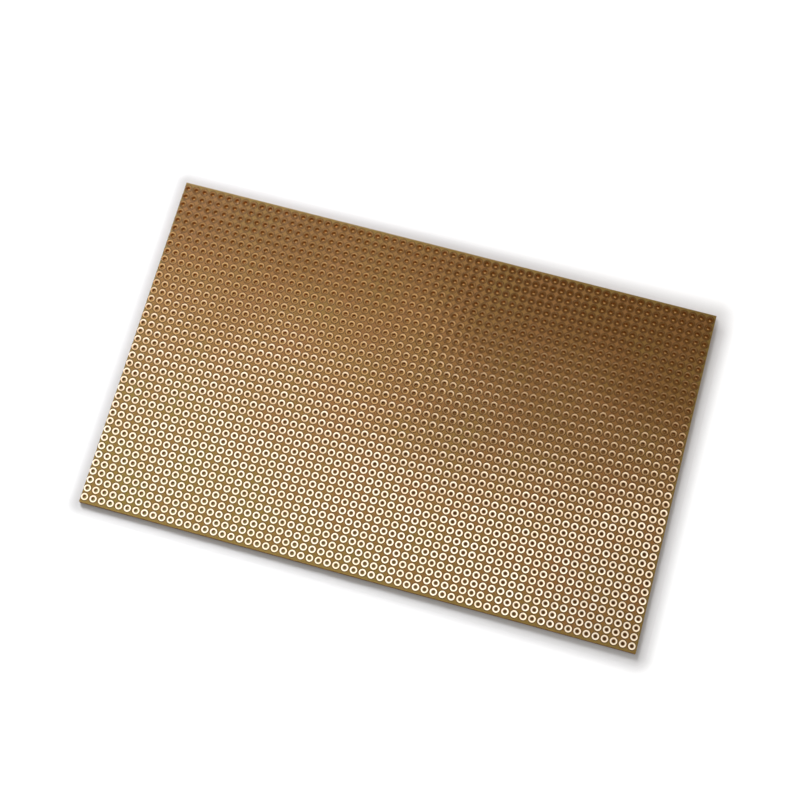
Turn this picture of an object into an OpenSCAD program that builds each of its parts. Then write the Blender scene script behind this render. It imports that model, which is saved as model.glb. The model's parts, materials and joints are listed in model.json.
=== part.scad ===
// Single-sided prototype board: a drilled sheet of phenolic-paper laminate
// with a ring of bare copper foil round every hole.
// X runs along the length, Y along the width and Z up, out of the copper side.
// The origin is the middle of the underside. Sizes are in millimetres.

/* [Board] */
// Length of the board, along X
board_length = 160; // [40:0.5:250]
// Width of the board, along Y
board_width = 100; // [30:0.5:160]
// Thickness of the bare laminate
board_thickness = 1.5; // [0.8:0.1:3.2]

/* [Hole grid] */
// Spacing of the holes, along X and along Y
hole_pitch = 2.54; // [2.54:0.01:5.08]
// Diameter of each drilled hole
hole_d = 1; // [0.6:0.05:1.4]
// Least distance from the middle of a hole to the edge of the board
edge_margin = 1; // [0.8:0.05:5]
// How far the whole grid sits off the middle of the board, along X
grid_shift = -0.2; // [-0.25:0.05:0.25]

/* [Copper] */
// Outer diameter of each pad
pad_d = 2.1; // [1.6:0.05:2.4]
// Thickness of the foil
copper_thickness = 0.035; // [0.018:0.001:0.105]

/* [Hidden] */
$fn = 48;

// As many holes as fit between the margins, with the grid's shift taken off both ends
columns = floor((board_length - 2 * (edge_margin + abs(grid_shift))) / hole_pitch) + 1;
rows = floor((board_width - 2 * edge_margin) / hole_pitch) + 1;
hole_xs = [for (i = [0 : columns - 1]) (i - (columns - 1) / 2) * hole_pitch + grid_shift];
hole_ys = [for (j = [0 : rows - 1]) (j - (rows - 1) / 2) * hole_pitch];

// Hairlines along X on both broad faces, midway between rows, part the rows into bands.
// They are too fine to see or feel, and keep any one face from holding thousands of holes.
hairline = 0.02;
rows_per_band = 3;
hairline_ys = [for (j = [rows_per_band : rows_per_band : rows - 1]) (j - rows / 2) * hole_pitch];

laminate_colour = "#96703c";
copper_colour = "#f0c890";

// Repeats a shape at the middle of every hole
module at_every_hole() {
    for (x = hole_xs, y = hole_ys) {
        translate([x, y]) children();
    }
}

module board_outline() {
    square([board_length, board_width], center = true);
}

module drill_pattern() {
    at_every_hole() circle(d = hole_d);
}

module hairlines() {
    for (y = hairline_ys, z = [0, board_thickness]) {
        translate([0, y, z]) cube([board_length + 2 * hairline, hairline, 2 * hairline], center = true);
    }
}

// The bare sheet, with every hole drilled through
module laminate() {
    color(laminate_colour)
    difference() {
        linear_extrude(board_thickness)
        difference() {
            board_outline();
            drill_pattern();
        }
        hairlines();
    }
}

// Foil rings seated on the sheet's upper face, drilled with it and sheared off where it ends
module copper_pads() {
    color(copper_colour)
    translate([0, 0, board_thickness])
    linear_extrude(copper_thickness)
    difference() {
        intersection() {
            at_every_hole() circle(d = pad_d);
            board_outline();
        }
        drill_pattern();
    }
}

laminate();
copper_pads();
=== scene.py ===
# Looks of a single-sided prototype board: a sheet of phenolic-paper laminate drilled on a square
# grid, with a ring of bare copper foil round every hole, lying copper side up on a white floor.
# The sheet and the rings are grown from the frame's own sizes. All lengths are in metres.
import json
import math

import bpy
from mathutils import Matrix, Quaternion, Vector


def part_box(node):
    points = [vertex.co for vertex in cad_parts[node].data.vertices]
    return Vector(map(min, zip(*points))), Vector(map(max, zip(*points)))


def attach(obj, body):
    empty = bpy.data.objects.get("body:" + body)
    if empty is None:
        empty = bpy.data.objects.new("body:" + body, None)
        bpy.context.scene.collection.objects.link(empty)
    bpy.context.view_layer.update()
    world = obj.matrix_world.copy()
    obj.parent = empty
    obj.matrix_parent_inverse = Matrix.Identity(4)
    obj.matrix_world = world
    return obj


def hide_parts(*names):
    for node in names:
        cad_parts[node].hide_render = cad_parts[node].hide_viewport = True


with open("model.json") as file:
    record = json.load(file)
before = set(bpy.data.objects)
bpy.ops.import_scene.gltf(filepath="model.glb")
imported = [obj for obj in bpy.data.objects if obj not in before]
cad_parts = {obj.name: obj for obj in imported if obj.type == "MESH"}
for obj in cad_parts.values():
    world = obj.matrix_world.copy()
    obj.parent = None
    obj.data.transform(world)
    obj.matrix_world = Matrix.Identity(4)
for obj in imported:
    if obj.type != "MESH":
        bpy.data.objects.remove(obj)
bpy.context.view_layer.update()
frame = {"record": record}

MM = 0.001
BODY = "root"

# The hole grid, as the record states it, and the boxes of the two nodes
mounts = {mount["name"]: mount for mount in frame["record"]["mounts"]}
hole_grid = mounts["hole_grid"]
pitch = hole_grid["dims"]["spacing_x_mm"] * MM
hole_radius = hole_grid["dims"]["hole_r_mm"] * MM
grid_x, grid_y = hole_grid["pos_m"][:2]
sheet_low, sheet_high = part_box("laminate")
pads_low, pads_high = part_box("copper_pads")
sheet_size = sheet_high - sheet_low
pads_size = pads_high - pads_low
columns = int(pads_size.x / pitch) + 1
rows = int(pads_size.y / pitch) + 1
pad_radius = (pads_size.x - (columns - 1) * pitch) / 2

# Both bores have the same sides, so the drilled wall runs straight through foil and sheet
BORE_SIDES = 16
# Etching eats under the resist, so a pad's rim slopes out by about half the foil's thickness
ETCH_SLOPE = 0.018 * MM
# The drill draws the foil down a little towards each hole
DISH_DEPTH = 0.012 * MM
# Points closer than this are one point
WELD = 0.002 * MM
PAD_SEED = 7

# The camera of the photograph: where it aims, how far off it is and how it is turned
CAMERA_AIM = Vector((-0.93, 2.1, 1.535)) * MM
CAMERA_DISTANCE = 461.8 * MM
CAMERA_AZIMUTH = 20.96
CAMERA_ELEVATION = 74.28
CAMERA_ROLL = -5.55
CAMERA_LENS_MM = 73.13
SENSOR_WIDTH_MM = 36.0

WHITE = "#ffffff"
BLACK = "#000000"
# Octaves of noise, for a pattern with fine detail, a softer one and one that is nearly smooth
FINE_DETAIL = 3.0
SOFT_DETAIL = 2.0
SMOOTH_DETAIL = 0.6

# Copper: its colours, the roughness of the brightest and dullest ring, and the sizes of its
# unevenness. The real grain is finer, and is drawn this coarse to show.
COPPER_BRIGHT = "#f8e8ce"
COPPER_DULLED = "#edd3ad"
COPPER_ROUGHNESS = (0.10, 0.13)
TARNISH = 9 * MM
SWELL = 45 * MM
SWELL_HEIGHT = 0.6 * MM
FOIL_GRAIN = 0.25 * MM
FOIL_GRAIN_HEIGHT = 0.004 * MM
FOIL_GRAIN_BUMP = 0.3
# Browned copper and painted shade: a dark band at the drilled burr, partly browning and partly
# the bore's shade painted on, and a dark line at the etched brim, partly browning and partly
# painted edge shade; how wide and how strong each is
BURR_BROWN_AND_SHADE = "#5a3a1a"
BURR_AND_SHADE_WIDTH = 0.2 * MM
BURR_BROWNING_AND_SHADE = 0.95
BRIM_AND_SHADE_WIDTH = 0.08 * MM
BRIM_BROWNING_AND_SHADE = 0.3

# Pressed face of the laminate: its paper and resin. Real fibres are about a tenth as wide, and
# are drawn this coarse to show.
FACE_PALE = "#aa7840"
FACE_DEEP = "#7e562a"
FACE_ROUGHNESS = (0.4, 0.55)
FACE_SHEEN = 0.2
FIBRE_WIDTH = 0.22 * MM
FIBRE_LENGTH = 0.9 * MM
FIBRE_CURL = 0.8
FIBRE_RELIEF = 0.01 * MM
FIBRE_BUMP = 0.4
# Olive resin in patches, and an olive cast that grows towards the front left corner, which is
# painted sheen. The lean is how much X and Y count towards that corner.
FACE_OLIVE = "#8c7532"
MOTTLE = 13 * MM
MOTTLE_RANGE = (0.4, 0.7)
MOTTLE_OLIVE = 0.45
CORNER_PAINTED_SHEEN = 0.6
CORNER_LEAN = (0.45, 0.6)
# The sheared rim, and a dark band round each pad, partly an etching stain and partly painted shade
# at the pad's foot
FACE_RIM = "#8e7639"
RIM_WIDTH = 2.0 * MM
RIM_TINT = 0.8
FACE_STAIN_AND_SHADE = "#3e2810"
STAIN_AND_SHADE_WIDTH = 0.3 * MM
STAIN_AND_SHADE_DEPTH = 0.85

# Cut edge of the laminate: its plies, and the paler orange of the bores, partly the resin smeared
# over them and partly painted light
EDGE_PALE = "#a5773f"
EDGE_DEEP = "#6b4823"
EDGE_ROUGHNESS = 0.75
EDGE_SHEEN = 0.25
PLY = 0.19 * MM
PLY_RUN = 4 * MM
PLY_RELIEF = 0.03 * MM
PLY_BUMP = 0.6
BORE_RESIN_AND_LIGHT = "#be8134"
BORE_SMEAR_AND_LIGHT = 0.8

# White paper floor: how strongly it shows by itself at the board's foot and past a painted shadow
# round the board, how wide that painted shadow is, and where the far ground starts and is fully
# white. The foot has a second, lighter value behind the right-hand end, which is painted light.
FLOOR_REACH = 2.0
FLOOR_DROP = 0.02 * MM
FLOOR_PAPER = "#d8d8d8"
PAPER_ROUGHNESS = 0.9
PAINTED_SHADOW_FOOT = (0.07, 0.3)
FLOOR_GLOW = 0.73
PAINTED_SHADOW_WIDTH = 8 * MM
FLOOR_FAR = (0.03, 0.25)
# The paper under the board, all painted light: its painted brown, its glow tint, and its glow from
# front to back, from left to right and at the front left corner. The depth is where that front and
# back lie, in half widths of the board.
PAINTED_UNDER_BROWN = "#8a5622"
PAINTED_GLOW_TINT = "#ffc57a"
PAINTED_GLOW_RANGE = (0.05, 0.5)
PAINTED_GLOW_DEPTH = (-0.4, 1.3)
PAINTED_GLOW_SIDES = (1.4, 0.75)
PAINTED_CORNER_TINT = "#f0f09a"
PAINTED_CORNER_GLOW = 0.17

# Lamps and world: a softbox overhead, a key from the back left, and a dim even light all round
WORLD_LIGHT = 0.34
SOFTBOX_PLACE = (-0.195, -0.1, 0.6)
SOFTBOX_SIZE = (0.51, 0.36)
SOFTBOX_POWER = 0.262
KEY_COLOUR = "#f8faff"
KEY_PLACE = (-0.38, 0.35, 0.27)
KEY_AIM = (-0.215, 0.085, 0)
KEY_SIZE = (0.4, 0.42)
KEY_POWER = 0.57
KEY_BEAM = 29

# Scrim: its corners and height, its colours from near to far, where they fade into each other
# along Y, and how its right-hand end, past a step along X, differs from its left
SCRIM_LOW = (-0.6, 0.08)
SCRIM_HIGH = (0.5, 0.75)
SCRIM_HEIGHT = 0.605
SCRIM_GLOW = 1.47
SCRIM_TAN = "#bea074"
SCRIM_BROWN = "#694b25"
SCRIM_DARK = "#533919"
SCRIM_FADE = (0.112, 0.27)
SCRIM_STEP_X = (-0.062, -0.036)
SCRIM_TAN_AT = (0.5, 0.75)
SCRIM_BROWN_FROM = (0.45, 0.2)
SCRIM_RIGHT_SHIFT = 0.034
SCRIM_FOLD = 0.12
SCRIM_FOLD_RANGE = (0.3, 0.7)
SCRIM_WANDER = 0.012


def to_linear(hex_colour):
    """An sRGB hex colour as linear red, green, blue and full alpha."""
    parts = [int(hex_colour[i:i + 2], 16) / 255 for i in (1, 3, 5)]
    return [c / 12.92 if c <= 0.04045 else ((c + 0.055) / 1.055) ** 2.4 for c in parts] + [1.0]


def add(tree, kind, inputs=None, **settings):
    """Adds one node. Each input is a value, or the socket of another node to link from.

    Inputs go by name or number. In Map Range, 0 is the value, 1 and 2 are the range it comes from
    and 3 and 4 the range it goes to. In Mix, 0 is the factor, 2 and 3 are numbers, 6 and 7 colours.
    """
    node = tree.nodes.new(kind)
    for name, value in settings.items():
        setattr(node, name, value)
    for socket, value in (inputs or {}).items():
        if isinstance(value, bpy.types.NodeSocket):
            tree.links.new(value, node.inputs[socket])
        else:
            node.inputs[socket].default_value = value
    return node


def new_material(name):
    """A material with an empty tree and a Principled shader on its output."""
    material = bpy.data.materials.new(name)
    material.use_nodes = True
    tree = material.node_tree
    tree.nodes.clear()
    shader = add(tree, "ShaderNodeBsdfPrincipled")
    add(tree, "ShaderNodeOutputMaterial", {"Surface": shader.outputs[0]})
    return material, tree, shader


def past_outline(tree):
    """Nodes for how far a point lies off the sheet's middle and past its outline, along X and Y."""
    place = add(tree, "ShaderNodeTexCoord").outputs["Object"]
    middle = (sheet_low + sheet_high) / 2
    half = sheet_size / 2
    off = add(tree, "ShaderNodeVectorMath", {0: place, 1: (middle.x, middle.y, 0)}, operation="SUBTRACT")
    side = add(tree, "ShaderNodeVectorMath", {0: off.outputs[0]}, operation="ABSOLUTE")
    past = add(tree, "ShaderNodeVectorMath", {0: side.outputs[0], 1: (half.x, half.y, 1)},
               operation="SUBTRACT")
    return off.outputs[0], past.outputs[0]


def off_hole(tree):
    """Nodes for how far a point lies off the middle of the nearest hole."""
    place = add(tree, "ShaderNodeTexCoord").outputs["Object"]
    off = add(tree, "ShaderNodeVectorMath", {0: place, 1: (grid_x, grid_y, 0)}, operation="SUBTRACT")
    plan = add(tree, "ShaderNodeVectorMath", {0: off.outputs[0], 1: (1, 1, 0)}, operation="MULTIPLY")
    reach = Vector(((columns - 1) / 2, (rows - 1) / 2, 0)) * pitch
    ahead = add(tree, "ShaderNodeVectorMath", {0: plan.outputs[0], 1: [pitch / 2] * 3}, operation="ADD")
    hole = add(tree, "ShaderNodeVectorMath", {0: ahead.outputs[0], 1: [pitch] * 3}, operation="SNAP")
    short = add(tree, "ShaderNodeVectorMath", {0: hole.outputs[0], 1: reach}, operation="MINIMUM")
    kept = add(tree, "ShaderNodeVectorMath", {0: short.outputs[0], 1: -reach}, operation="MAXIMUM")
    return add(tree, "ShaderNodeVectorMath", {0: plan.outputs[0], 1: kept.outputs[0]},
               operation="DISTANCE").outputs["Value"]


def front_left(tree, off):
    """Nodes that rise from 0 past the sheet's middle to 1 at its front left corner."""
    half = sheet_size / 2
    lean = (-CORNER_LEAN[0] / half.x, -CORNER_LEAN[1] / half.y, 0)
    nearness = add(tree, "ShaderNodeVectorMath", {0: off, 1: lean}, operation="DOT_PRODUCT")
    return add(tree, "ShaderNodeMapRange", {0: nearness.outputs["Value"]},
               interpolation_type="SMOOTHSTEP").outputs[0]


def copper_foil():
    """Bare rolled copper foil, etched into rings and lightly dulled.

    A satin metal: it mirrors the lamps and the room, its rolling leaves a slow swell that bends
    the mirrored room from patch to patch, and each ring has dulled a little differently. The
    burr round the hole and the etched brim are darkened brown, partly by browning and partly
    by painted shade of the bore and of the pad's edge.
    """
    material, tree, shader = new_material("bare_copper_foil")
    place = add(tree, "ShaderNodeTexCoord").outputs["Object"]
    tarnish = add(tree, "ShaderNodeTexNoise",
                  {"Vector": place, "Scale": 1 / TARNISH, "Detail": FINE_DETAIL})
    tone = add(tree, "ShaderNodeAttribute", attribute_name="tone")
    dulling = add(tree, "ShaderNodeMath", {0: tarnish.outputs["Fac"], 1: tone.outputs["Fac"]},
                  operation="MULTIPLY")
    colour = add(tree, "ShaderNodeMix",
                 {0: dulling.outputs[0], 6: to_linear(COPPER_BRIGHT), 7: to_linear(COPPER_DULLED)},
                 data_type="RGBA")
    radius = off_hole(tree)
    # Painted shade, partly real browning: a dark brown band at the hole's lip and a thin dark line at the
    # pad's edge
    burr_and_shade = add(tree, "ShaderNodeMapRange",
               {0: radius, 1: hole_radius, 2: hole_radius + BURR_AND_SHADE_WIDTH, 3: BURR_BROWNING_AND_SHADE, 4: 0.0})
    brim_and_shade = add(tree, "ShaderNodeMapRange",
               {0: radius, 1: pad_radius - BRIM_AND_SHADE_WIDTH, 2: pad_radius, 3: 0.0, 4: BRIM_BROWNING_AND_SHADE})
    browned_and_shaded = add(tree, "ShaderNodeMath", {0: burr_and_shade.outputs[0], 1: brim_and_shade.outputs[0]}, operation="MAXIMUM")
    metal = add(tree, "ShaderNodeMix",
                {0: browned_and_shaded.outputs[0], 6: colour.outputs[2], 7: to_linear(BURR_BROWN_AND_SHADE)}, data_type="RGBA")
    rough = add(tree, "ShaderNodeMapRange",
                {0: tone.outputs["Fac"], 3: COPPER_ROUGHNESS[0], 4: COPPER_ROUGHNESS[1]})
    waves = add(tree, "ShaderNodeTexNoise",
                {"Vector": place, "Scale": 1 / SWELL, "Detail": SMOOTH_DETAIL})
    waves_bump = add(tree, "ShaderNodeBump",
                     {"Height": waves.outputs["Fac"], "Strength": 1.0, "Distance": SWELL_HEIGHT})
    grains = add(tree, "ShaderNodeTexNoise",
                 {"Vector": place, "Scale": 1 / FOIL_GRAIN, "Detail": SOFT_DETAIL})
    bump = add(tree, "ShaderNodeBump",
               {"Height": grains.outputs["Fac"], "Strength": FOIL_GRAIN_BUMP,
                "Distance": FOIL_GRAIN_HEIGHT, "Normal": waves_bump.outputs[0]})
    shader.inputs["Metallic"].default_value = 1.0
    tree.links.new(metal.outputs[2], shader.inputs["Base Color"])
    tree.links.new(rough.outputs[0], shader.inputs["Roughness"])
    tree.links.new(bump.outputs[0], shader.inputs["Normal"])
    return material


def pressed_face():
    """Phenolic-paper laminate, as its broad faces come from the press.

    Brown resin over felted paper: a satin sheen, fine fibres that lie mostly along the sheet,
    slow mottling where the paper took up more or less resin, an olive cast towards one corner that
    is painted sheen, greener along the rim where shearing has crazed it, and a dark band along each
    pad that is partly an etching stain and partly painted shade at the pad's foot.
    """
    material, tree, shader = new_material("phenolic_paper_pressed_face")
    place = add(tree, "ShaderNodeTexCoord").outputs["Object"]
    along = add(tree, "ShaderNodeMapping",
                {"Vector": place, "Scale": (1 / FIBRE_LENGTH, 1 / FIBRE_WIDTH, 1 / FIBRE_WIDTH)})
    fibres = add(tree, "ShaderNodeTexNoise",
                 {"Vector": along.outputs[0], "Scale": 1.0, "Detail": FINE_DETAIL,
                  "Distortion": FIBRE_CURL})
    patches = add(tree, "ShaderNodeTexNoise",
                  {"Vector": place, "Scale": 1 / MOTTLE, "Detail": FINE_DETAIL})
    paper = add(tree, "ShaderNodeMix",
                {0: fibres.outputs["Fac"], 6: to_linear(FACE_DEEP), 7: to_linear(FACE_PALE)},
                data_type="RGBA")
    patch = add(tree, "ShaderNodeMapRange",
                {0: patches.outputs["Fac"], 1: MOTTLE_RANGE[0], 2: MOTTLE_RANGE[1],
                 3: 0.0, 4: MOTTLE_OLIVE})
    off, beyond = past_outline(tree)
    # Painted sheen: an olive cast that grows towards the front left corner, added to the real olive mottle
    mottle_and_painted_sheen = add(tree, "ShaderNodeMath", {0: front_left(tree, off), 1: CORNER_PAINTED_SHEEN, 2: patch.outputs[0]},
                  operation="MULTIPLY_ADD")
    colour = add(tree, "ShaderNodeMix",
                 {0: mottle_and_painted_sheen.outputs[0], 6: paper.outputs[2], 7: to_linear(FACE_OLIVE)}, data_type="RGBA")
    past = add(tree, "ShaderNodeSeparateXYZ", {0: beyond})
    nearest = add(tree, "ShaderNodeMath", {0: past.outputs["X"], 1: past.outputs["Y"]}, operation="MAXIMUM")
    rim = add(tree, "ShaderNodeMapRange",
              {0: nearest.outputs[0], 1: -RIM_WIDTH, 2: 0.0, 3: 0.0, 4: RIM_TINT},
              interpolation_type="SMOOTHSTEP")
    rimmed = add(tree, "ShaderNodeMix",
                 {0: rim.outputs[0], 6: colour.outputs[2], 7: to_linear(FACE_RIM)}, data_type="RGBA")
    # Painted shade, partly an etching stain: the upper face darkens right round each pad's foot
    stain_and_shade = add(tree, "ShaderNodeMapRange",
                {0: off_hole(tree), 1: pad_radius, 2: pad_radius + STAIN_AND_SHADE_WIDTH, 3: STAIN_AND_SHADE_DEPTH, 4: 0.0})
    height = add(tree, "ShaderNodeSeparateXYZ", {0: place})
    upper = add(tree, "ShaderNodeMath", {0: height.outputs["Z"], 1: sheet_size.z / 2},
                operation="GREATER_THAN")
    etched_and_shaded = add(tree, "ShaderNodeMath", {0: stain_and_shade.outputs[0], 1: upper.outputs[0]}, operation="MULTIPLY")
    stained_and_shaded = add(tree, "ShaderNodeMix",
                  {0: etched_and_shaded.outputs[0], 6: rimmed.outputs[2], 7: to_linear(FACE_STAIN_AND_SHADE)}, data_type="RGBA")
    rough = add(tree, "ShaderNodeMapRange",
                {0: fibres.outputs["Fac"], 3: FACE_ROUGHNESS[0], 4: FACE_ROUGHNESS[1]})
    bump = add(tree, "ShaderNodeBump",
               {"Height": fibres.outputs["Fac"], "Strength": FIBRE_BUMP, "Distance": FIBRE_RELIEF})
    shader.inputs["Specular IOR Level"].default_value = FACE_SHEEN
    tree.links.new(stained_and_shaded.outputs[2], shader.inputs["Base Color"])
    tree.links.new(rough.outputs[0], shader.inputs["Roughness"])
    tree.links.new(bump.outputs[0], shader.inputs["Normal"])
    return material


def cut_edge():
    """Phenolic-paper laminate where it was sheared or drilled.

    The plies show as thin pale and dark lines round the edge, matt and slightly furry. The bores
    are a paler orange-brown, partly the resin that the drill has smeared over the plies and partly
    painted light that stands in for light soaking through the sheet into the bore.
    """
    material, tree, shader = new_material("phenolic_paper_cut_edge")
    place = add(tree, "ShaderNodeTexCoord").outputs["Object"]
    flat = add(tree, "ShaderNodeMapping", {"Vector": place, "Scale": (1 / PLY_RUN, 1 / PLY_RUN, 1 / PLY)})
    plies = add(tree, "ShaderNodeTexNoise",
                {"Vector": flat.outputs[0], "Scale": 1.0, "Detail": SOFT_DETAIL})
    colour = add(tree, "ShaderNodeMix",
                 {0: plies.outputs["Fac"], 6: to_linear(EDGE_DEEP), 7: to_linear(EDGE_PALE)},
                 data_type="RGBA")
    past = add(tree, "ShaderNodeSeparateXYZ", {0: past_outline(tree)[1]})
    nearest = add(tree, "ShaderNodeMath", {0: past.outputs["X"], 1: past.outputs["Y"]}, operation="MAXIMUM")
    # Painted light, partly smeared resin: the bore walls are paler orange than the cut outline
    bored = add(tree, "ShaderNodeMath", {0: nearest.outputs[0], 1: -WELD}, operation="LESS_THAN")
    smear_and_light = add(tree, "ShaderNodeMath", {0: bored.outputs[0], 1: BORE_SMEAR_AND_LIGHT}, operation="MULTIPLY")
    wall = add(tree, "ShaderNodeMix",
               {0: smear_and_light.outputs[0], 6: colour.outputs[2], 7: to_linear(BORE_RESIN_AND_LIGHT)}, data_type="RGBA")
    bump = add(tree, "ShaderNodeBump",
               {"Height": plies.outputs["Fac"], "Strength": PLY_BUMP, "Distance": PLY_RELIEF})
    shader.inputs["Roughness"].default_value = EDGE_ROUGHNESS
    shader.inputs["Specular IOR Level"].default_value = EDGE_SHEEN
    tree.links.new(wall.outputs[2], shader.inputs["Base Color"])
    tree.links.new(bump.outputs[0], shader.inputs["Normal"])
    return material


def start_tree(name, sizes):
    """A Geometry Nodes tree with a named input for each size, and the outputs of its Group Input."""
    kinds = {int: "NodeSocketInt", float: "NodeSocketFloat", Vector: "NodeSocketVector"}
    tree = bpy.data.node_groups.new(name, "GeometryNodeTree")
    for label, value in sizes.items():
        tree.interface.new_socket(label, in_out="INPUT", socket_type=kinds[type(value)])
    tree.interface.new_socket("Geometry", in_out="OUTPUT", socket_type="NodeSocketGeometry")
    return tree, add(tree, "NodeGroupInput").outputs


def grow(name, tree, sizes):
    """Runs a tree at the given sizes and keeps what it makes as a plain mesh object."""
    piece = bpy.data.objects.new(name, bpy.data.meshes.new(name))
    bpy.context.scene.collection.objects.link(piece)
    modifier = piece.modifiers.new("Build", "NODES")
    modifier.node_group = tree
    for socket in tree.interface.items_tree:
        if socket.in_out == "INPUT":
            modifier[socket.identifier] = sizes[socket.name]
    depsgraph = bpy.context.evaluated_depsgraph_get()
    mesh = bpy.data.meshes.new_from_object(
        piece.evaluated_get(depsgraph), preserve_all_data_layers=True, depsgraph=depsgraph)
    piece.modifiers.clear()
    piece.data = mesh
    mesh.name = name
    # Instances without a material leave an empty first slot
    if mesh.materials[0] is None:
        mesh.materials.pop(index=0)
    return piece


def hole_points(tree, size):
    """Nodes for one point at the middle of every hole of a block of rows."""
    across = add(tree, "ShaderNodeMath", {0: size["Columns"], 1: 1.0}, operation="SUBTRACT")
    along = add(tree, "ShaderNodeMath", {0: size["Rows"], 1: 1.0}, operation="SUBTRACT")
    width = add(tree, "ShaderNodeMath", {0: across.outputs[0], 1: size["Pitch"]}, operation="MULTIPLY")
    depth = add(tree, "ShaderNodeMath", {0: along.outputs[0], 1: size["Pitch"]}, operation="MULTIPLY")
    grid = add(tree, "GeometryNodeMeshGrid",
               {"Size X": width.outputs[0], "Size Y": depth.outputs[0],
                "Vertices X": size["Columns"], "Vertices Y": size["Rows"]})
    return add(tree, "GeometryNodeTransform", {0: grid.outputs[0], "Translation": size["Middle"]})


def reach_outline(tree, size, cells):
    """Nodes that move the outermost corners of the cells to the sheet's outline."""
    place = add(tree, "GeometryNodeInputPosition").outputs[0]
    off = add(tree, "ShaderNodeVectorMath", {0: place, 1: size["Middle"]}, operation="SUBTRACT")
    share = add(tree, "ShaderNodeVectorMath", {0: off.outputs[0], 1: size["Cells reach"]},
                operation="DIVIDE")
    within = add(tree, "ShaderNodeVectorMath", {0: share.outputs[0], 1: (1, 1, 1)}, operation="MODULO")
    side = add(tree, "ShaderNodeVectorMath", {0: share.outputs[0], 1: within.outputs[0]},
               operation="SUBTRACT")
    outer = add(tree, "ShaderNodeVectorMath", {0: side.outputs[0]}, operation="ABSOLUTE")
    edge = add(tree, "ShaderNodeVectorMath", {0: side.outputs[0], 1: size["Sheet reach"]},
               operation="MULTIPLY")
    shift = add(tree, "ShaderNodeVectorMath", {0: edge.outputs[0], 1: place}, operation="SUBTRACT")
    move = add(tree, "ShaderNodeVectorMath", {0: shift.outputs[0], 1: outer.outputs[0]},
               operation="MULTIPLY")
    return add(tree, "GeometryNodeSetPosition", {0: cells, "Offset": move.outputs[0]})


def drilled_sheet(name, face_material, edge_material):
    """The sheet: a square cell with its bore on every hole, drawn out to the outline and thickened."""
    sizes = {
        "Columns": columns, "Rows": rows, "Pitch": pitch, "Middle": Vector((grid_x, grid_y, 0)),
        "Hole radius": hole_radius, "Bore sides": BORE_SIDES, "Weld": WELD,
        "Cells reach": Vector((columns * pitch / 2 - WELD, rows * pitch / 2 - WELD, 1)),
        "Sheet reach": sheet_size / 2, "Thickness": Vector((0, 0, sheet_size.z)),
    }
    tree, size = start_tree(name, sizes)
    square = add(tree, "GeometryNodeCurvePrimitiveQuadrilateral",
                 {"Width": size["Pitch"], "Height": size["Pitch"]})
    bore = add(tree, "GeometryNodeCurvePrimitiveCircle",
               {"Resolution": size["Bore sides"], "Radius": size["Hole radius"]})
    plan = add(tree, "GeometryNodeJoinGeometry", {0: square.outputs[0]})
    tree.links.new(bore.outputs[0], plan.inputs[0])
    cell = add(tree, "GeometryNodeFillCurve", {0: plan.outputs[0]})
    points = hole_points(tree, size)
    cells = add(tree, "GeometryNodeInstanceOnPoints", {0: points.outputs[0], 2: cell.outputs[0]})
    real = add(tree, "GeometryNodeRealizeInstances", {0: cells.outputs[0]})
    drawn = reach_outline(tree, size, real.outputs[0])
    face = add(tree, "GeometryNodeMergeByDistance", {0: drawn.outputs[0], "Distance": size["Weld"]})
    underside = add(tree, "GeometryNodeFlipFaces", {0: face.outputs[0]})
    raised = add(tree, "GeometryNodeExtrudeMesh",
                 {0: face.outputs[0], "Offset": size["Thickness"], "Individual": False})
    shell = add(tree, "GeometryNodeSetMaterial", {0: raised.outputs[0], 2: face_material})
    walled = add(tree, "GeometryNodeSetMaterial",
                 {0: shell.outputs[0], 1: raised.outputs["Side"], 2: edge_material})
    faced = add(tree, "GeometryNodeSetMaterial", {0: underside.outputs[0], 2: face_material})
    both = add(tree, "GeometryNodeJoinGeometry", {0: walled.outputs[0]})
    tree.links.new(faced.outputs[0], both.inputs[0])
    welded = add(tree, "GeometryNodeMergeByDistance", {0: both.outputs[0], "Distance": size["Weld"]})
    flat = add(tree, "GeometryNodeSetShadeSmooth", {0: welded.outputs[0], 2: False})
    add(tree, "NodeGroupOutput", {0: flat.outputs[0]})
    return grow(name, tree, sizes)


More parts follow.
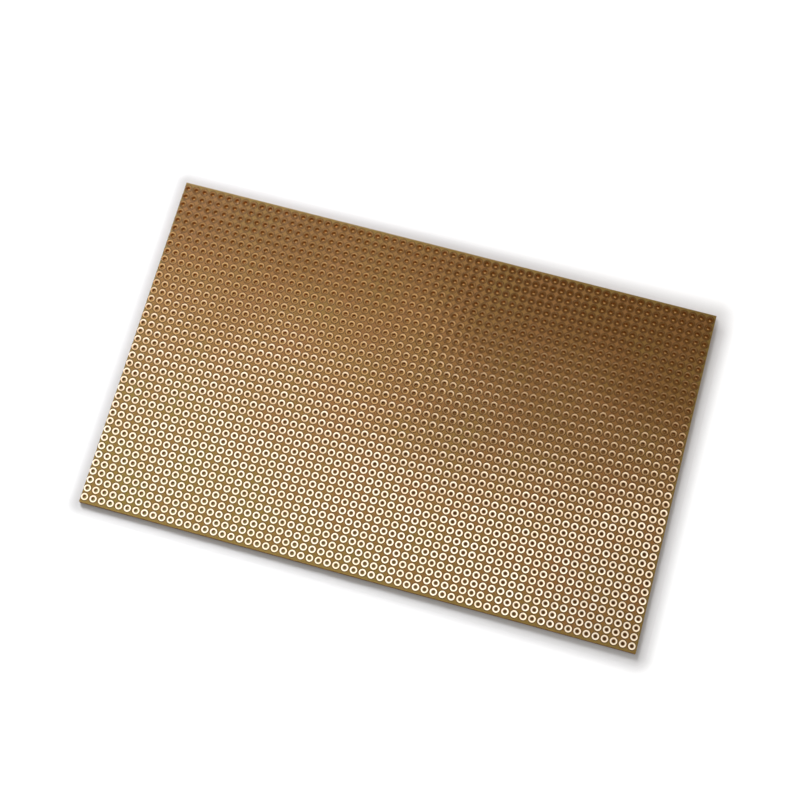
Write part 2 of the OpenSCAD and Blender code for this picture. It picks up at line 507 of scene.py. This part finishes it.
def foil_rings(name, first_row, row_count, foil_material):
    """A block of rows of pads: the foil's section swept round a bore, on every hole."""
    middle_row = first_row + (row_count - 1) / 2
    middle_y = grid_y + (middle_row - (rows - 1) / 2) * pitch
    ring_width = pad_radius - hole_radius
    sizes = {
        "Columns": columns, "Rows": row_count, "Pitch": pitch,
        "Middle": Vector((grid_x, middle_y, pads_low.z)), "Hole radius": hole_radius,
        "Bore sides": BORE_SIDES, "Inner foot": Vector((0, 0, 0)),
        "Inner brow": Vector((0, DISH_DEPTH - pads_size.z, 0)),
        "Outer brow": Vector((ring_width - ETCH_SLOPE, -pads_size.z, 0)),
        "Outer foot": Vector((ring_width, 0, 0)), "Seed": PAD_SEED + first_row,
    }
    tree, size = start_tree(name, sizes)
    bore = add(tree, "GeometryNodeCurvePrimitiveCircle",
               {"Resolution": size["Bore sides"], "Radius": size["Hole radius"]})
    level = add(tree, "GeometryNodeSetCurveNormal", {0: bore.outputs[0]}, mode="Z_UP")
    section = add(tree, "GeometryNodeCurvePrimitiveQuadrilateral",
                  {"Point 1": size["Inner foot"], "Point 2": size["Inner brow"],
                   "Point 3": size["Outer brow"], "Point 4": size["Outer foot"]}, mode="POINTS")
    ring = add(tree, "GeometryNodeCurveToMesh", {0: level.outputs[0], 1: section.outputs[0]})
    points = hole_points(tree, size)
    rings = add(tree, "GeometryNodeInstanceOnPoints", {0: points.outputs[0], 2: ring.outputs[0]})
    tone = add(tree, "FunctionNodeRandomValue", {"Seed": size["Seed"]})
    toned = add(tree, "GeometryNodeStoreNamedAttribute",
                {0: rings.outputs[0], "Name": "tone", "Value": tone.outputs[1]}, domain="INSTANCE")
    real = add(tree, "GeometryNodeRealizeInstances", {0: toned.outputs[0]})
    flat = add(tree, "GeometryNodeSetShadeSmooth", {0: real.outputs[0], 2: False})
    foil = add(tree, "GeometryNodeSetMaterial", {0: flat.outputs[0], 2: foil_material})
    add(tree, "NodeGroupOutput", {0: foil.outputs[0]})
    return grow(name, tree, sizes)


def photograph_camera():
    """The camera at the photograph's place, with its lens."""
    azimuth, elevation = math.radians(CAMERA_AZIMUTH), math.radians(CAMERA_ELEVATION)
    back = Vector((math.sin(azimuth) * math.cos(elevation),
                   -math.cos(azimuth) * math.cos(elevation), math.sin(elevation)))
    lens = bpy.data.cameras.new("photograph")
    lens.lens = CAMERA_LENS_MM
    lens.sensor_width = SENSOR_WIDTH_MM
    camera = bpy.data.objects.new("photograph", lens)
    camera.location = CAMERA_AIM + back * CAMERA_DISTANCE
    camera.rotation_mode = "QUATERNION"
    upright = (-back).to_track_quat("-Z", "Y")
    camera.rotation_quaternion = upright @ Quaternion((0, 0, 1), math.radians(CAMERA_ROLL))
    bpy.context.scene.collection.objects.link(camera)
    bpy.context.scene.camera = camera


def area_lamp(name, place, aim, size, power, colour, spread=180.0):
    """A rectangular soft lamp that looks from its place towards a point, within a beam in degrees."""
    lamp = bpy.data.lights.new(name, "AREA")
    lamp.shape = "RECTANGLE"
    lamp.size, lamp.size_y = size
    lamp.energy = power
    lamp.color = to_linear(colour)[:3]
    lamp.spread = math.radians(spread)
    holder = bpy.data.objects.new(name, lamp)
    holder.location = place
    holder.rotation_mode = "QUATERNION"
    holder.rotation_quaternion = (Vector(aim) - Vector(place)).to_track_quat("-Z", "Y")
    bpy.context.scene.collection.objects.link(holder)


def sheet_of(name, low, high, height, material):
    """A flat rectangular stage sheet, facing up, with its place in its mesh."""
    corners = [(low[0], low[1], height), (high[0], low[1], height),
               (high[0], high[1], height), (low[0], high[1], height)]
    mesh = bpy.data.meshes.new(name)
    mesh.from_pydata(corners, [], [(0, 1, 2, 3)])
    mesh.materials.append(material)
    sheet = bpy.data.objects.new(name, mesh)
    bpy.context.scene.collection.objects.link(sheet)


def seen_directly(tree):
    """Light Path nodes that give 1 to a ray that shows a background, and 0 to one that lights."""
    path = add(tree, "ShaderNodeLightPath")
    mirrored = add(tree, "ShaderNodeMath",
                   {0: path.outputs["Is Glossy Ray"], 1: path.outputs["Is Transmission Ray"]},
                   operation="MAXIMUM")
    return add(tree, "ShaderNodeMath", {0: path.outputs["Is Camera Ray"], 1: mirrored.outputs[0]},
               operation="MAXIMUM").outputs[0]


def white_floor():
    """Matt white paper that shows as a white ground, and keeps the board's shadow round its foot.

    Round the foot the shadow is deepened with painted shadow, and the ground is evened out with
    painted light behind the right-hand end, which the key hardly reaches. The paper under the sheet
    has a painted brown and a painted glow, most of all towards the key, standing in for light that
    soaks through the sheet.
    """
    material, tree, shader = new_material("white_paper_floor")
    half = sheet_size / 2
    off, past = past_outline(tree)
    clear = add(tree, "ShaderNodeVectorMath", {0: past, 1: (0, 0, 0)}, operation="MAXIMUM")
    away = add(tree, "ShaderNodeVectorMath", {0: clear.outputs[0]}, operation="LENGTH")
    far_ground = add(tree, "ShaderNodeMapRange",
                     {0: away.outputs["Value"], 1: FLOOR_FAR[0], 2: FLOOR_FAR[1], 3: FLOOR_GLOW, 4: 1.0})
    axes = add(tree, "ShaderNodeSeparateXYZ", {0: off})
    # Painted shadow: the floor's own glow is held down near the board's outline and rises over the painted
    # shadow's width; behind the right-hand end it is lifted as painted light
    painted_lift_behind = add(tree, "ShaderNodeMapRange",
                 {0: axes.outputs["Y"], 1: half.y - PAINTED_SHADOW_WIDTH / 2, 2: half.y,
                  3: PAINTED_SHADOW_FOOT[0], 4: PAINTED_SHADOW_FOOT[1]})
    foot_in_painted_shadow = add(tree, "ShaderNodeMapRange", {0: axes.outputs["X"], 2: half.x, 4: painted_lift_behind.outputs[0]})
    ground_past_painted_shadow = add(tree, "ShaderNodeMapRange",
                      {0: away.outputs["Value"], 2: PAINTED_SHADOW_WIDTH,
                       3: foot_in_painted_shadow.outputs[0], 4: far_ground.outputs[0]},
                      interpolation_type="SMOOTHSTEP")
    outside = add(tree, "ShaderNodeMath", {0: away.outputs["Value"], 1: 0.0}, operation="GREATER_THAN")
    glow = add(tree, "ShaderNodeMath", {0: seen_directly(tree), 1: ground_past_painted_shadow.outputs[0]},
               operation="MULTIPLY")
    # Painted glow: the paper under the sheet glows, standing in for light that soaks through the sheet
    back = add(tree, "ShaderNodeMapRange",
               {0: axes.outputs["Y"], 1: PAINTED_GLOW_DEPTH[0] * half.y, 2: PAINTED_GLOW_DEPTH[1] * half.y,
                3: PAINTED_GLOW_RANGE[0], 4: PAINTED_GLOW_RANGE[1]},
               interpolation_type="SMOOTHSTEP")
    left = add(tree, "ShaderNodeMapRange",
               {0: axes.outputs["X"], 1: -half.x, 2: half.x, 3: PAINTED_GLOW_SIDES[0], 4: PAINTED_GLOW_SIDES[1]})
    painted_glow_spread = add(tree, "ShaderNodeMath", {0: back.outputs[0], 1: left.outputs[0]}, operation="MULTIPLY")
    corner = front_left(tree, off)
    painted_glow_strength = add(tree, "ShaderNodeMath", {0: corner, 1: PAINTED_CORNER_GLOW, 2: painted_glow_spread.outputs[0]},
                operation="MULTIPLY_ADD")
    strength = add(tree, "ShaderNodeMix",
                   {0: outside.outputs[0], 2: painted_glow_strength.outputs[0], 3: glow.outputs[0]})
    painted_glow_colour = add(tree, "ShaderNodeMix",
               {0: corner, 6: to_linear(PAINTED_GLOW_TINT), 7: to_linear(PAINTED_CORNER_TINT)}, data_type="RGBA")
    tint = add(tree, "ShaderNodeMix",
               {0: outside.outputs[0], 6: painted_glow_colour.outputs[2], 7: to_linear(WHITE)}, data_type="RGBA")
    # Painted brown on the paper under the sheet, plain white paper elsewhere
    paper = add(tree, "ShaderNodeMix",
                {0: outside.outputs[0], 6: to_linear(PAINTED_UNDER_BROWN), 7: to_linear(FLOOR_PAPER)},
                data_type="RGBA")
    tree.links.new(paper.outputs[2], shader.inputs["Base Color"])
    shader.inputs["Roughness"].default_value = PAPER_ROUGHNESS
    shader.inputs["Specular IOR Level"].default_value = 0.0
    tree.links.new(tint.outputs[2], shader.inputs["Emission Color"])
    tree.links.new(strength.outputs[0], shader.inputs["Emission Strength"])
    return material


def graded_scrim():
    """A hanging scrim that fades from white near the softbox to brown, which the rings mirror.

    It is darker and starts sooner over the right-hand end, and its fade wanders a little.
    """
    material, tree, shader = new_material("graded_scrim")
    place = add(tree, "ShaderNodeTexCoord").outputs["Object"]
    axes = add(tree, "ShaderNodeSeparateXYZ", {0: place})
    right = add(tree, "ShaderNodeMapRange",
                {0: axes.outputs["X"], 1: SCRIM_STEP_X[0], 2: SCRIM_STEP_X[1]},
                interpolation_type="SMOOTHSTEP")
    folds = add(tree, "ShaderNodeTexNoise",
                {"Vector": place, "Scale": 1 / SCRIM_FOLD, "Detail": SOFT_DETAIL})
    wander = add(tree, "ShaderNodeMapRange",
                 {0: folds.outputs["Fac"], 1: SCRIM_FOLD_RANGE[0], 2: SCRIM_FOLD_RANGE[1],
                  3: -SCRIM_WANDER, 4: SCRIM_WANDER})
    sooner = add(tree, "ShaderNodeMath",
                 {0: right.outputs[0], 1: SCRIM_RIGHT_SHIFT, 2: wander.outputs[0]},
                 operation="MULTIPLY_ADD")
    depth = add(tree, "ShaderNodeMath", {0: axes.outputs["Y"], 1: sooner.outputs[0]}, operation="ADD")
    fade = add(tree, "ShaderNodeMapRange", {0: depth.outputs[0], 1: SCRIM_FADE[0], 2: SCRIM_FADE[1]})
    far = add(tree, "ShaderNodeMix",
              {0: right.outputs[0], 6: to_linear(SCRIM_BROWN), 7: to_linear(SCRIM_DARK)}, data_type="RGBA")
    tan_at = add(tree, "ShaderNodeMapRange", {0: right.outputs[0], 3: SCRIM_TAN_AT[0], 4: SCRIM_TAN_AT[1]})
    brown_from = add(tree, "ShaderNodeMapRange",
                     {0: right.outputs[0], 3: SCRIM_BROWN_FROM[0], 4: SCRIM_BROWN_FROM[1]})
    near_part = add(tree, "ShaderNodeMapRange", {0: fade.outputs[0], 2: tan_at.outputs[0]},
                    interpolation_type="SMOOTHSTEP")
    far_part = add(tree, "ShaderNodeMapRange", {0: fade.outputs[0], 1: brown_from.outputs[0]},
                   interpolation_type="SMOOTHSTEP")
    near = add(tree, "ShaderNodeMix",
               {0: near_part.outputs[0], 6: to_linear(WHITE), 7: to_linear(SCRIM_TAN)},
               data_type="RGBA")
    colour = add(tree, "ShaderNodeMix", {0: far_part.outputs[0], 6: near.outputs[2], 7: far.outputs[2]},
                 data_type="RGBA")
    shader.inputs["Base Color"].default_value = to_linear(BLACK)
    shader.inputs["Specular IOR Level"].default_value = 0.0
    tree.links.new(colour.outputs[2], shader.inputs["Emission Color"])
    shader.inputs["Emission Strength"].default_value = SCRIM_GLOW
    return material


def studio_world():
    """White all round to the eye and in the metal, and a dim even light on the board."""
    world = bpy.data.worlds.new("studio")
    world.use_nodes = True
    tree = world.node_tree
    tree.nodes.clear()
    strength = add(tree, "ShaderNodeMapRange", {0: seen_directly(tree), 3: WORLD_LIGHT, 4: 1.0})
    sky = add(tree, "ShaderNodeBackground",
              {"Color": to_linear(WHITE), "Strength": strength.outputs[0]})
    add(tree, "ShaderNodeOutputWorld", {"Surface": sky.outputs[0]})
    bpy.context.scene.world = world


photograph_camera()

sheet = drilled_sheet("drilled_sheet", pressed_face(), cut_edge())
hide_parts("laminate")
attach(sheet, BODY)

foil = copper_foil()
front_rows = (rows + 1) // 2
for name, first_row, row_count in (("foil_rings_front", 0, front_rows),
                                   ("foil_rings_back", front_rows, rows - front_rows)):
    rings = foil_rings(name, first_row, row_count, foil)
    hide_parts("copper_pads")
    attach(rings, BODY)

sheet_of("floor", (-FLOOR_REACH, -FLOOR_REACH), (FLOOR_REACH, FLOOR_REACH), -FLOOR_DROP, white_floor())
sheet_of("scrim", SCRIM_LOW, SCRIM_HIGH, SCRIM_HEIGHT, graded_scrim())
area_lamp("softbox", SOFTBOX_PLACE, (SOFTBOX_PLACE[0], SOFTBOX_PLACE[1], 0), SOFTBOX_SIZE,
          SOFTBOX_POWER, WHITE)
area_lamp("key", KEY_PLACE, KEY_AIM, KEY_SIZE, KEY_POWER, KEY_COLOUR, KEY_BEAM)
studio_world()
bpy.context.scene.view_settings.view_transform = "Standard"
